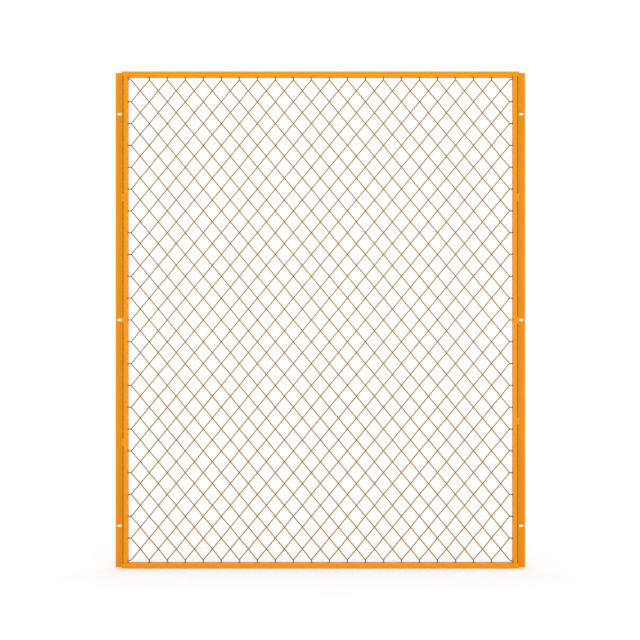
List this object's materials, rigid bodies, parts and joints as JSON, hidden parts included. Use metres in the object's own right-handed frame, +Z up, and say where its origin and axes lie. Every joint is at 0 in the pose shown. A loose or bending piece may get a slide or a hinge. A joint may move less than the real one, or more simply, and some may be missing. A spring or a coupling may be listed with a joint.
{
  "type": "wire mesh guard panel",
  "caption": "Rectangular guard panel of woven diamond wire mesh in a welded channel frame, with a slotted mounting angle along each upright side.",
  "frame": {"origin": "bottom centre of the panel: middle of the width and of the depth, at the lower edge", "axes": "X across the panel from left to right, Y through its depth with the front facing -Y and the flanges' flush face at the back, Z up"},
  "size_m": [1.2636, 0.0254, 1.524],
  "materials": {
    "frame_coat": "orange powder coat, semi-gloss, lightly textured",
    "wire_coat": "the same coat on the wire, thinner and duller, so that it looks golden brown"
  },
  "bodies": {
    "root": {"left_stile": "frame_coat", "right_stile": "frame_coat", "top_rail": "frame_coat", "bottom_rail": "frame_coat", "left_mounting_angle": "frame_coat", "right_mounting_angle": "frame_coat", "left_weld_lower": "frame_coat", "left_weld_middle": "frame_coat", "left_weld_upper": "frame_coat", "right_weld_lower": "frame_coat", "right_weld_middle": "frame_coat", "right_weld_upper": "frame_coat", "top_left_corner_weld": "frame_coat", "top_right_corner_weld": "frame_coat", "bottom_left_corner_weld": "frame_coat", "bottom_right_corner_weld": "frame_coat", "woven_wires_01": "wire_coat", "woven_wires_02": "wire_coat", "woven_wires_03": "wire_coat", "woven_wires_04": "wire_coat", "woven_wires_05": "wire_coat", "woven_wires_06": "wire_coat", "woven_wires_07": "wire_coat", "woven_wires_08": "wire_coat", "woven_wires_09": "wire_coat", "woven_wires_10": "wire_coat", "woven_wires_11": "wire_coat", "woven_wires_12": "wire_coat", "woven_wires_13": "wire_coat", "woven_wires_14": "wire_coat", "woven_wires_15": "wire_coat", "woven_wires_16": "wire_coat", "woven_wires_17": "wire_coat", "woven_wires_18": "wire_coat", "woven_wires_19": "wire_coat", "woven_wires_20": "wire_coat", "woven_wires_21": "wire_coat", "woven_wires_22": "wire_coat", "woven_wires_23": "wire_coat", "woven_wires_24": "wire_coat", "woven_wires_25": "wire_coat", "woven_wires_26": "wire_coat", "woven_wires_27": "wire_coat", "woven_wires_28": "wire_coat", "woven_wires_29": "wire_coat", "woven_wires_30": "wire_coat", "woven_wires_31": "wire_coat", "woven_wires_32": "wire_coat", "woven_wires_33": "wire_coat", "woven_wires_34": "wire_coat", "woven_wires_35": "wire_coat", "woven_wires_36": "wire_coat", "woven_wires_37": "wire_coat", "woven_wires_38": "wire_coat", "woven_wires_39": "wire_coat", "woven_wires_40": "wire_coat", "woven_wires_41": "wire_coat", "woven_wires_42": "wire_coat", "woven_wires_43": "wire_coat", "woven_wires_44": "wire_coat"}
  },
  "joints": []
}
